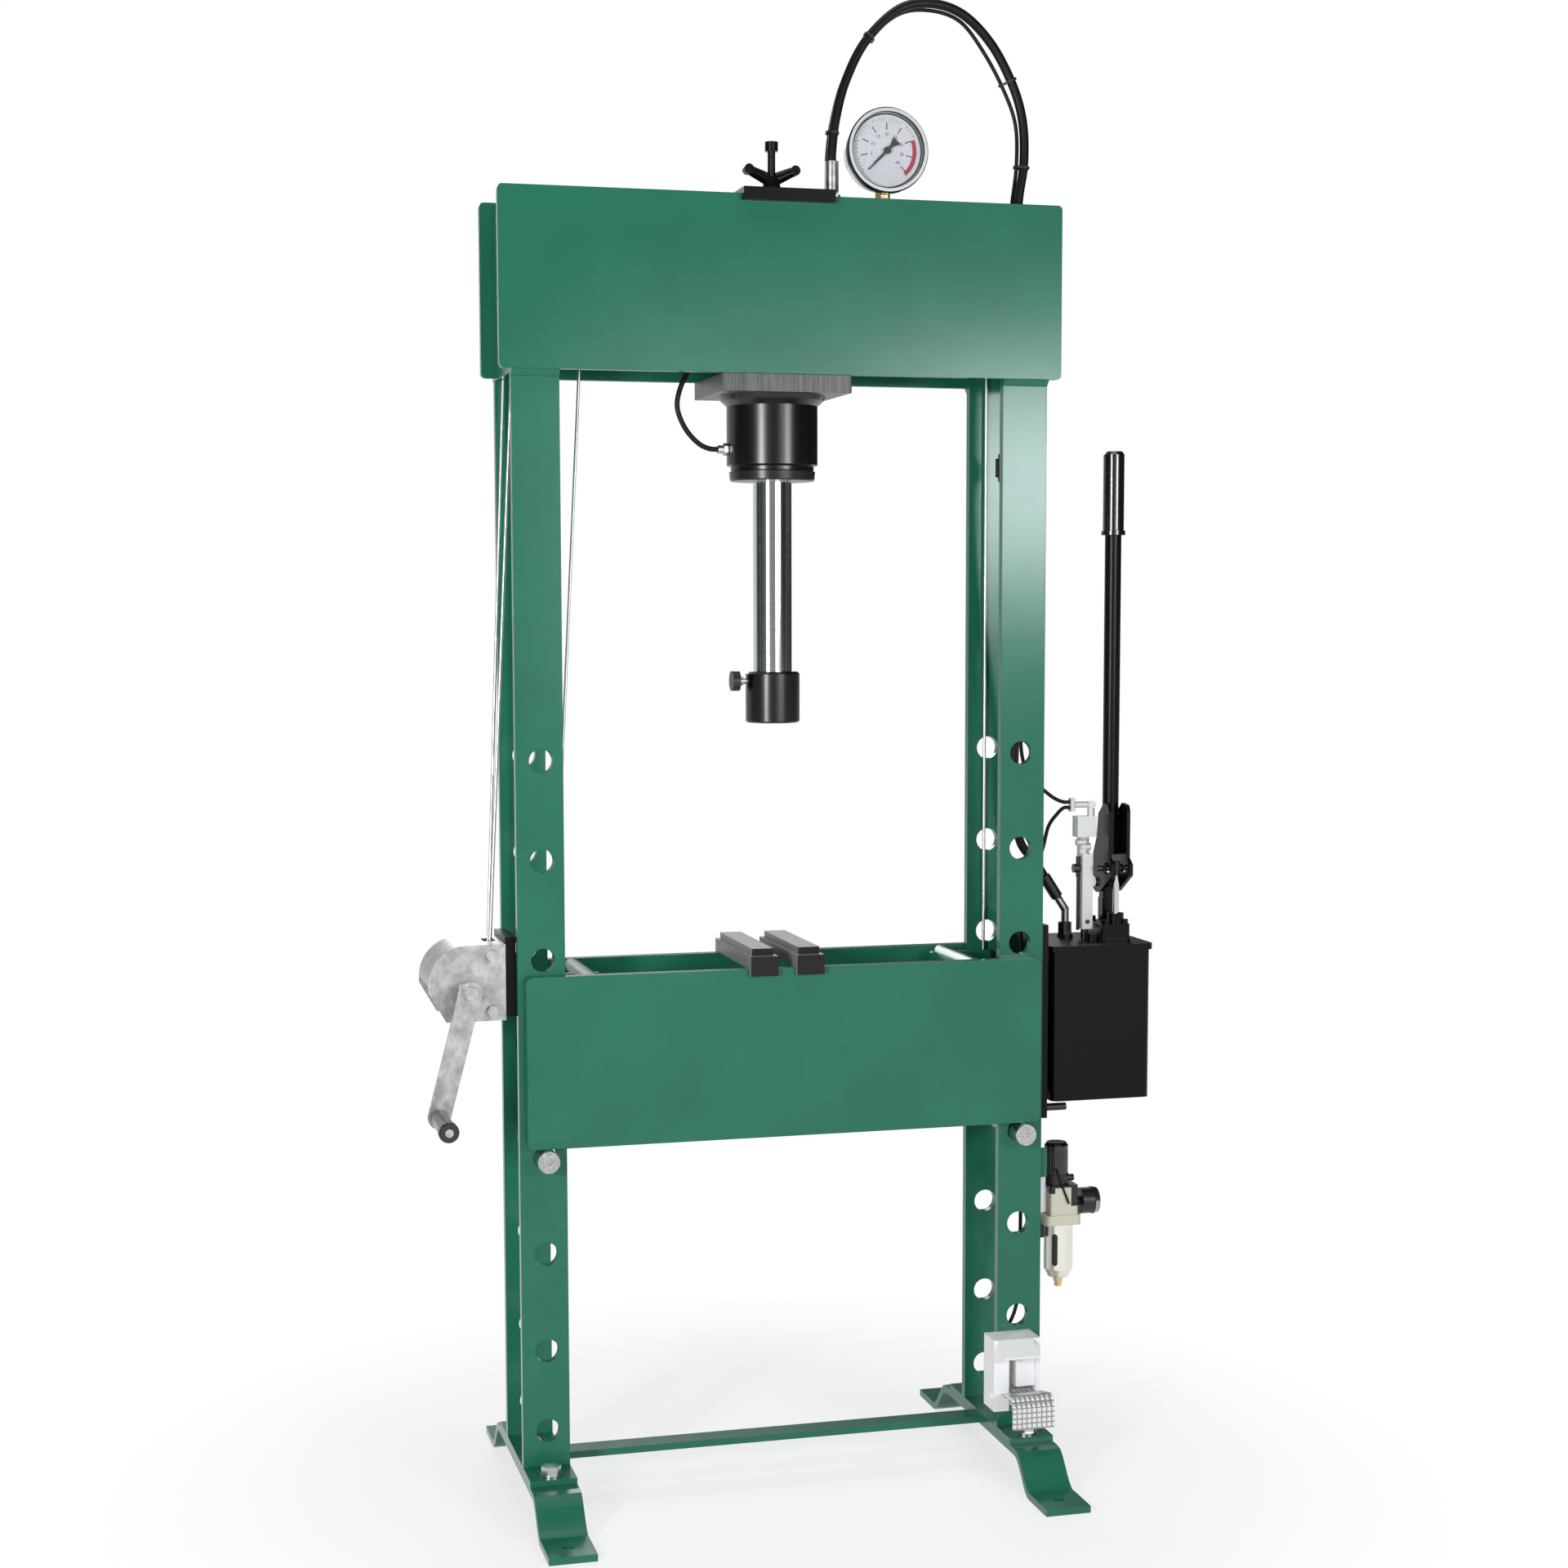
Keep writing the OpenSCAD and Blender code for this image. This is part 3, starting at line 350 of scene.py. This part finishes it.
green_paint = painted("green_paint", GREEN, 0.17, specular=0.30)
black_paint = painted("black_paint", (0.003, 0.003, 0.004), 0.28, 1200.0, 0.08, 0.0008,
                      specular=0.16)
black_gloss = painted("black_gloss", (0.0015, 0.0015, 0.002), 0.27, 1500.0, 0.02, 0.0006)
pale_paint = painted("pale_paint", (0.93, 0.93, 0.94), 0.32, 900.0, 0.04, 0.0006, 0.02)
galvanised = metal("galvanised", (0.62, 0.62, 0.63), 0.42, (1, 1, 0.8), 75.0, 0.12, depth=0.55)
zinc = metal("zinc", (0.70, 0.71, 0.72), 0.30, scale=20.0, strength=0.005, spread=0.04, depth=0.75)
dull_steel = metal("dull_steel", STEEL, 0.34, scale=90.0, strength=0.02, depth=0.7)
wire = metal("wire_rope", (0.72, 0.73, 0.74), 0.38, scale=900.0, strength=0.5)
chrome = metal("chrome", CHROME, 0.11, (1, 1, 12), 30.0, strength=0.0, spread=0.0)
pin_steel = metal("pin_steel", (0.62, 0.63, 0.64), 0.26, scale=260.0, strength=0.25, spread=0.08,
                  depth=0.55)
brass = metal("brass", BRASS, 0.26)
rubber = plain("hose_rubber", (0.005, 0.005, 0.006), 0.40, specular=0.2)
grip_plastic = plain("black_plastic", (0.003, 0.003, 0.0035), 0.20, edge=0.0008, specular=0.8)
dial_white = plain("dial_white", (0.66, 0.66, 0.70), 0.55, specular=0.1)
needle_black = plain("needle_black", (0.004, 0.004, 0.004), 0.5, specular=0.1)
dial_black = plain("dial_black", (0.012, 0.012, 0.02), 0.5, specular=0.1)
dial_red = plain("dial_red", (0.40, 0.008, 0.03), 0.5, specular=0.1)
tie_black = plain("tie_black", (0.010, 0.010, 0.010), 0.45)

plunger_mix = by_place("plunger_mix", (STEEL, 1.0, 0.14), (BLACK, 0.0, 0.35), [[("Z", ">", 0.788)]])
cream_mix = by_place("frl_body_mix", ((0.60, 0.57, 0.46), 0.0, 0.38), (BLACK, 0.0, 0.30), [
    [("X", ">", 0.4005), ("Z", ">", 0.3460)],
    [("X", "<", 0.3775), ("Z", ">", 0.3640)],
    [("Z", ">", 0.3715)]])
motor_mix = by_place("motor_mix", (STEEL, 0.3, 0.46), (BLACK, 0.0, 0.35), [
    [("X", "<", 0.42945), ("Z", "<", 0.815)],
    [("Z", "<", 0.71495)],
    [("Y", "<", -0.00705), ("Z", "<", 0.73)]])
small_gauge_mix = by_place("small_gauge_mix", (BLACK, 0.0, 0.4), ((0.34, 0.34, 0.35), 1.0, 0.22), [
    [("X", ">", 0.437)]])
fittings_mix = by_place("pump_fittings_mix", ((0.50, 0.50, 0.51), 1.0, 0.32), (BLACK, 0.0, 0.4), [
    [("Z", ">", 0.754)],
    [("Z", "<", 0.722)]])
thumbscrew_mix = by_place("thumbscrew_mix", ((0.45, 0.45, 0.46), 1.0, 0.25), (BLACK, 0.0, 0.4), [
    [("X", "<", -0.0445)]])

bowl_guard = bowl_material()
# the second colour is the painted light on the tops and sides of the blocks
block_steel = face_lit_material("block_steel", (0.016, 0.015, 0.016), (0.25, 0.25, 0.25))
sawn_steel = sawn_material("sawn_steel", (0.030, 0.030, 0.031), (0.115, 0.117, 0.117))
gauge_bezel = bezel_reflection_material()
treadle_plate = treadle_material()
glass = glass_material()

# the CAD nodes that each finish covers
FINISH = {
    green_paint: "head_front_plate head_rear_plate head_side_plates front_uprights rear_uprights"
    " foot_frame base_plates bed_front_plate bed_rear_plate bed_spacers",
    black_paint: "clamp_saddle wing_nut winch_bracket pump_bracket pump_tank"
    " pump_lid pump_block pump_lever manifold",
    black_gloss: "cylinder ram_head clamp_screw",
    block_steel: "press_blocks",
    sawn_steel: "ram_mount_plate",
    galvanised: "winch_housing winch_crank",
    dull_steel: "hose_fittings",
    zinc: "base_bolts left_sheaves right_sheave sheave_axles winch_drum lever_pivot_pin"
    " frl_bracket",
    wire: "bed_ropes winch_ropes",
    chrome: "ram_rod",
    plunger_mix: "pump_plunger",
    pin_steel: "bed_pins",
    gauge_bezel: "gauge_case",
    brass: "gauge_stem",
    rubber: "side_hose upper_hose lower_hose air_line air_tubes",
    grip_plastic: "winch_grip lever_grip frl_knob",
    small_gauge_mix: "frl_gauge",
    fittings_mix: "pump_fittings",
    thumbscrew_mix: "ram_thumbscrew",
    motor_mix: "air_motor",
    pale_paint: "pedal_valve",
    treadle_plate: "pedal",
    cream_mix: "frl_body",
    bowl_guard: "frl_bowl",
    dial_white: "gauge_dial",
    needle_black: "gauge_pointer",
    glass: "gauge_glass",
}
for material, names in FINISH.items():
    for name in names.split():
        for slot in nodes[name].material_slots:
            slot.material = material

# ---------------------------------------------------------------- hoses


def route(*points):
    return [mm(*point) for point in points]


# the routes of part.scad
LOOP = route(
    (80, 0, 1717), (80, 0, 1730), (85, 0, 1770), (98, 0, 1818), (125, 0, 1870), (169, 0, 1912),
    (213, 0, 1922), (257, 0, 1910), (296, 0, 1874), (325, 0, 1824), (339, 0, 1778),
    (341, 0, 1726), (334, 0, 1676), (328, 0, 1590), (321, 0, 1500), (317, 0, 1400),
    (317, 0, 1349))
LINE = route(
    (76, 11, 1676), (76, 11, 1690), (77, 11, 1730), (83, 10, 1772), (97, 9.5, 1820),
    (125, 9.5, 1867), (170, 9.5, 1907), (213, 8.5, 1915), (254, 6, 1903), (286, 5, 1866),
    (314, 5, 1819), (331, 6, 1776), (333, 6, 1726), (328, 8, 1677), (317, 5, 1600),
    (311, -8, 1520), (320, -16, 1400), (322, -16, 1349))
DROP = route(
    (317, 0, 1313), (317, 0, 1260), (321, 6, 1160), (334, 14, 1060), (341, 20, 980),
    (342, 25, 890), (353, 29, 833), (375, 30, 805), (388, 30, 785))
SIDE = route(
    (-72, 0, 1350), (-84, 0, 1351), (-98, 0, 1358), (-113, 0, 1374), (-123, 0, 1395),
    (-124, 0, 1413), (-116, 0, 1437), (-100, 0, 1462), (-76, 0, 1476), (-58, 0, 1476))
TUBE_A = route(
    (322, -16, 1349), (322, -16, 1280), (326, -15, 1140), (336, -13, 1010), (340, -10, 955),
    (352, -7, 922), (370, -6, 907), (387, -6, 894), (401, -6, 888), (410, -6, 888))
TUBE_B = route(
    (279, -72, 140), (279, -62, 140), (283, -42, 142), (298, -24, 150), (338, -10, 205),
    (343, -10, 330), (344, -8, 560), (343, -4, 720), (347, -2, 774), (361, -2, 799),
    (373, -3, 824), (381, -4, 855), (393, -5, 872), (402, -6, 880), (410, -6, 880))
# the loop is baked where it lies and not attached to a body, so it stands still where it enters the
# upright
HOSE_R = 6 * MM
SIDE_HOSE_R = 0.0033
TUBE_R = 2.5 * MM


def smooth(points, steps=8):
    """The curve that part.scad draws through the same points, with more steps."""
    line = []
    last = len(points) - 1
    for i in range(last):
        a, b, c, d = (points[min(max(k, 0), last)] for k in (i - 1, i, i + 1, i + 2))
        for k in range(steps):
            t = k / steps
            line.append(0.5 * (2 * b + (c - a) * t + (2 * a - 5 * b + 4 * c - d) * t * t
                               + (3 * b - a - 3 * c + d) * t ** 3))
    return line + [points[last]]


def tube(name, line, radius, sides=20):
    """A round tube along a line, with its rings turned as little as they can be."""
    verts, faces, side = [], [], None
    for i, p in enumerate(line):
        ahead = (line[min(i + 1, len(line) - 1)] - line[max(i - 1, 0)]).normalized()
        side = side or ahead.orthogonal()
        side = (side - ahead * side.dot(ahead)).normalized()
        other = ahead.cross(side)
        for k in range(sides):
            turn = 2 * math.pi * k / sides
            verts.append(p + radius * (math.cos(turn) * side + math.sin(turn) * other))
    for i in range(len(line) - 1):
        for k in range(sides):
            a, b = i * sides + k, i * sides + (k + 1) % sides
            faces.append((a, b, b + sides, a + sides))
    faces.append(tuple(range(sides))[::-1])
    faces.append(tuple(range((len(line) - 1) * sides, len(line) * sides)))
    return piece(name, verts, faces, rubber)


def piece(name, verts, faces, material, flat=False):
    """A mesh object. Unless it is flat its four-sided faces are smooth, and the ends are not."""
    mesh = bpy.data.meshes.new(name)
    mesh.from_pydata([tuple(v) for v in verts], [], faces)
    mesh.validate()
    if not flat:
        mesh.polygons.foreach_set("use_smooth", [len(p.vertices) == 4 for p in mesh.polygons])
    obj = bpy.data.objects.new(name, mesh)
    bpy.context.collection.objects.link(obj)
    mesh.materials.append(material)
    return obj


def hose(name, points, radius, node, body, bends=False):
    line = smooth(points)
    obj = tube(name, line, radius)
    if bends:
        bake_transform(obj)
    else:
        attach(obj, body)
    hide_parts(node)


hose("pressure_hose", LOOP, HOSE_R, "upper_hose", "carriage", bends=True)
hose("air_line_hose", LINE, TUBE_R, "air_line", "carriage", bends=True)
hose("drop_hose", DROP, HOSE_R, "lower_hose", "frame")
hose("cylinder_hose", SIDE, SIDE_HOSE_R, "side_hose", "carriage")
hose("air_tube_upper", TUBE_A, TUBE_R, "air_tubes", "frame")
hose("air_tube_lower", TUBE_B, TUBE_R, "air_tubes", "frame")

# ---------------------------------------------------------------- lifting ropes

source = nodes["bed_ropes"]
rope = source.copy()
rope.data = source.data.copy()
rope.name = "lifting_ropes"
bpy.context.collection.objects.link(rope)
rope.parent = None
rope.matrix_world = Matrix.Identity(4)
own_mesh(rope)
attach(rope, "frame")
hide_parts("bed_ropes")

# ---------------------------------------------------------------- gauge dial

SCALE_START = 225.0   # degrees, where the scale reads 0
TICK_STEP = 6.75      # degrees from tick to tick
TICKS = 40
NUMBER_EVERY = 5      # ticks from number to number
NUMBER_SIZE, NUMBER_R = 0.0062, 0.0205
LONG_TICK = (0.0262, 0.0352, 1.5)    # inner radius, outer radius, half its width in degrees
SHORT_TICK = (0.0385, 0.0410, 0.5)
TICK_TAPER = 0.7      # how wide a tick's outer end is, against its inner end
ARC_LIFT = 0.00002    # how far an arc stands before the ticks


def on_dial(angle, radius, lift=0.0):
    turn = math.radians(angle)
    across, up = radius * math.cos(turn), radius * math.sin(turn)
    return Vector((DIAL.x + across, DIAL_Y - lift, DIAL.z + up))


def dial_ticks():
    """Ticks all round the scale, a long one at each number."""
    verts, faces = [], []
    for step in range(TICKS + 1):
        angle = SCALE_START - step * TICK_STEP
        inner, outer, half = SHORT_TICK if step % NUMBER_EVERY else LONG_TICK
        far_half = half * TICK_TAPER
        base = len(verts)
        verts += [on_dial(angle - half, inner), on_dial(angle + half, inner),
                  on_dial(angle + far_half, outer), on_dial(angle - far_half, outer)]
        faces.append((base, base + 3, base + 2, base + 1))
    return piece("dial_ticks", verts, faces, dial_black, flat=True)


def dial_arc(name, start, end, inner, outer, material, count=48):
    """A flat ring or part of one, from start to end in degrees."""
    verts, faces = [], []
    for i in range(count + 1):
        angle = start + (end - start) * i / count
        verts += [on_dial(angle, inner, ARC_LIFT), on_dial(angle, outer, ARC_LIFT)]
    for i in range(count):
        a = 2 * i
        faces.append((a, a + 2, a + 3, a + 1))
    return piece(name, verts, faces, material, flat=True)


def dial_number(name, text, place):
    curve = bpy.data.curves.new(name, "FONT")
    curve.body = text
    curve.size = NUMBER_SIZE
    curve.align_x, curve.align_y = "CENTER", "CENTER"
    curve.resolution_u = 3
    shape = bpy.data.objects.new(name + "_curve", curve)
    bpy.context.collection.objects.link(shape)
    bpy.context.view_layer.update()
    mesh = bpy.data.meshes.new_from_object(shape)
    bpy.data.objects.remove(shape)
    mesh.transform(Matrix.Translation(place) @ Matrix.Rotation(math.pi / 2, 4, "X"))
    mesh.materials.clear()
    mesh.materials.append(dial_black)
    obj = bpy.data.objects.new(name, mesh)
    bpy.context.collection.objects.link(obj)
    return obj


marks = [dial_ticks(),
         dial_arc("dial_red_arc", -50.0, 22.5, 0.0345, 0.0400, dial_red),
         dial_arc("dial_rim", 0.0, 360.0, 0.0452, 0.0475, dial_black)]
for k in range(TICKS // NUMBER_EVERY + 1):
    place = on_dial(SCALE_START - NUMBER_EVERY * TICK_STEP * k, NUMBER_R)
    marks.append(dial_number(f"dial_number_{k}", str(NUMBER_EVERY * k), place))
for mark in marks:
    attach(mark, "carriage")

# ---------------------------------------------------------------- hose ties

TIE_PLACES = (0.105, 0.262, 0.560, 0.700)   # shares of the way along the hose
TIE_HALF, TIE_THICK = 0.0016, 0.0012        # half the strap's width, and its thickness
TIE_SLACK = 0.0008
TIE_SIDES = 28


def hose_tie(name, hose_line, air_line, share):
    """A thin strap round the hose and the air line."""
    i = int(share * (len(hose_line) - 1))
    at_hose = hose_line[i]
    ahead = (hose_line[i + 1] - hose_line[i - 1]).normalized()
    near = min(air_line, key=lambda q: (q - at_hose).length)
    across = near - at_hose
    across -= ahead * across.dot(ahead)
    gap = across.length
    across.normalize()
    other = ahead.cross(across)
    middle = at_hose + across * (gap + TUBE_R - HOSE_R) / 2
    long_half, short_half = (gap + TUBE_R + HOSE_R) / 2 + TIE_SLACK, HOSE_R + TIE_SLACK
    verts, faces = [], []
    rings = [(-TIE_HALF, 0.0), (-TIE_HALF, TIE_THICK), (TIE_HALF, TIE_THICK), (TIE_HALF, 0.0)]
    for shift, grow in rings:
        for k in range(TIE_SIDES):
            turn = 2 * math.pi * k / TIE_SIDES
            verts.append(middle + ahead * shift + across * ((long_half + grow) * math.cos(turn))
                         + other * ((short_half + grow) * math.sin(turn)))
    for r in range(len(rings)):
        here, after = r * TIE_SIDES, (r + 1) % len(rings) * TIE_SIDES
        for k in range(TIE_SIDES):
            turned = (k + 1) % TIE_SIDES
            faces.append((here + k, here + turned, after + turned, after + k))
    obj = piece(name, verts, faces, tie_black, flat=True)
    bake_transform(obj)


for number, share in enumerate(TIE_PLACES, 1):
    hose_tie(f"hose_tie_{number}", smooth(LOOP), smooth(LINE), share)

# ---------------------------------------------------------------- lever of the air unit

LEVER_R = 0.0014
LEVER = route((379, -48, 397), (387, -51, 374), (396, -53, 350))

frl_lever = tube("frl_lever", LEVER, LEVER_R, sides=12)
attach(frl_lever, "frame")

# ---------------------------------------------------------------- camera

EYE = mm(-838.17, -3209.74, 1149.34)
YAW, PITCH, ROLL = math.radians(14.885), math.radians(-5.415), math.radians(-0.107)
SENSOR, LENS = 36.0, 58.585   # millimetres
SHIFT_Y = 0.04124             # share of the sensor

data = bpy.data.cameras.new("camera")
data.sensor_width = SENSOR
data.lens = LENS
data.shift_y = SHIFT_Y
data.clip_end = 50.0
camera = bpy.data.objects.new("camera", data)
bpy.context.collection.objects.link(camera)
camera.matrix_world = (
    Matrix.Translation(EYE)
    @ Matrix.Rotation(-YAW, 4, "Z")
    @ Matrix.Rotation(math.pi / 2 + PITCH, 4, "X")
    @ Matrix.Rotation(ROLL, 4, "Z")
)
bpy.context.scene.camera = camera

# ---------------------------------------------------------------- floor

FLOOR_SIZE = 30.0
FADE_START, FADE_END = 0.40, 0.95   # from here to here the floor turns white
FADE_NEAR = 0.70                    # how white it is close by


def floor_material():
    """Pale floor that keeps the object's shadow and turns to the backdrop's white further out."""
    mat, tree, shader = new_material("floor")
    feed(tree, shader, {"Base Color": (0.94, 0.94, 0.94, 1.0), "Roughness": 0.8})
    far = add(tree, "ShaderNodeVectorMath", {0: object_point(tree)}, operation="LENGTH")
    fade = rescale(tree, far.outputs["Value"], FADE_START, FADE_END, FADE_NEAR, curve="SMOOTHSTEP")
    path = tree.nodes.new("ShaderNodeLightPath").outputs
    rays = [path[kind] for kind in ("Is Camera Ray", "Is Glossy Ray", "Is Transmission Ray")]
    white = add(tree, "ShaderNodeEmission", {"Color": WHITE, "Strength": 1.0})
    fac = calc(tree, "MULTIPLY", fade, fold(tree, "MAXIMUM", rays))
    surface = mix_shader(tree, fac, shader.outputs["BSDF"], white.outputs["Emission"])
    feed(tree, tree.nodes["Material Output"], {"Surface": surface})
    return mat


bpy.ops.mesh.primitive_plane_add(size=FLOOR_SIZE, location=(0.0, 0.0, 0.0))
floor = bpy.context.object
floor.name = "studio_floor"
floor.data.materials.append(floor_material())

# ---------------------------------------------------------------- light

SOFT_STRENGTH = 0.14
# how bright the room is in a mirror, by direction: 0 and 1 are behind the press (+Y), 0.25 is its
# left side (-X), 0.5 its front (-Y) and 0.75 its right side (+X)
ROOM = [
    (0.00, 0.80), (0.12, 0.60), (0.155, 0.45), (0.18, 0.03), (0.22, 0.02), (0.27, 0.02),
    (0.285, 0.08), (0.345, 0.08), (0.365, 0.23), (0.60, 0.23), (0.622, 0.02), (0.69, 0.02),
    (0.715, 0.08), (0.735, 0.08), (0.76, 0.03), (0.95, 0.03), (0.98, 0.80), (1.00, 0.80)]


def world_light():
    """Even soft light on the object, white behind it, and a room that glossy surfaces mirror."""
    world = bpy.data.worlds.new("studio")
    bpy.context.scene.world = world
    world.use_nodes = True
    tree = world.node_tree
    soft = tree.nodes["Background"]
    feed(tree, soft, {"Color": (0.96, 0.98, 1.0, 1.0), "Strength": SOFT_STRENGTH})
    path = tree.nodes.new("ShaderNodeLightPath").outputs
    white = add(tree, "ShaderNodeBackground", {"Color": WHITE, "Strength": 1.0})
    ahead = axes(tree, tree.nodes.new("ShaderNodeTexCoord").outputs["Generated"])
    turn = calc(tree, "ARCTAN2", ahead["X"], calc(tree, "MULTIPLY", ahead["Y"], -1.0))
    place = rescale(tree, turn, -math.pi, math.pi)
    shades = ramp(tree, place, [(p, (v, v, v)) for p, v in ROOM])
    room = add(tree, "ShaderNodeBackground", {"Color": shades, "Strength": 1.0})
    lit = mix_shader(tree, path["Is Glossy Ray"], soft.outputs["Background"],
                     room.outputs["Background"])
    clear = calc(tree, "MAXIMUM", path["Is Camera Ray"], path["Is Transmission Ray"])
    seen = mix_shader(tree, clear, lit, white.outputs["Background"])
    feed(tree, tree.nodes["World Output"], {"Surface": seen})


def softbox(name, place, target, size, power, color=(1.0, 1.0, 1.0)):
    light = bpy.data.lights.new(name, "AREA")
    light.shape = "RECTANGLE"
    light.size, light.size_y = size
    light.energy = power
    light.color = color
    lamp = bpy.data.objects.new(name, light)
    bpy.context.collection.objects.link(lamp)
    lamp.location = place
    lamp.rotation_euler = (Vector(target) - Vector(place)).to_track_quat("-Z", "Y").to_euler()


world_light()
softbox("left_panel", (-2.20, -2.53, 1.30), (0.0, 0.0, 1.2), (0.48, 0.95), 66.0)
softbox("right_panel", (1.55, -3.25, 1.47), (0.3, 0.0, 1.2), (0.7, 0.46), 33.0, (0.90, 0.97, 1.0))
softbox("middle_panel", (0.75, -3.3, 1.35), (0.0, 0.0, 1.2), (0.9, 0.95), 10.0)
softbox("top", (0.0, -0.2, 4.0), (0.0, 0.0, 1.0), (2.2, 2.2), 33.0)
softbox("rear_fill", (0.6, 3.6, 2.6), (0.0, 0.0, 0.9), (2.4, 1.6), 55.0)

bpy.context.scene.view_settings.view_transform = "Standard"
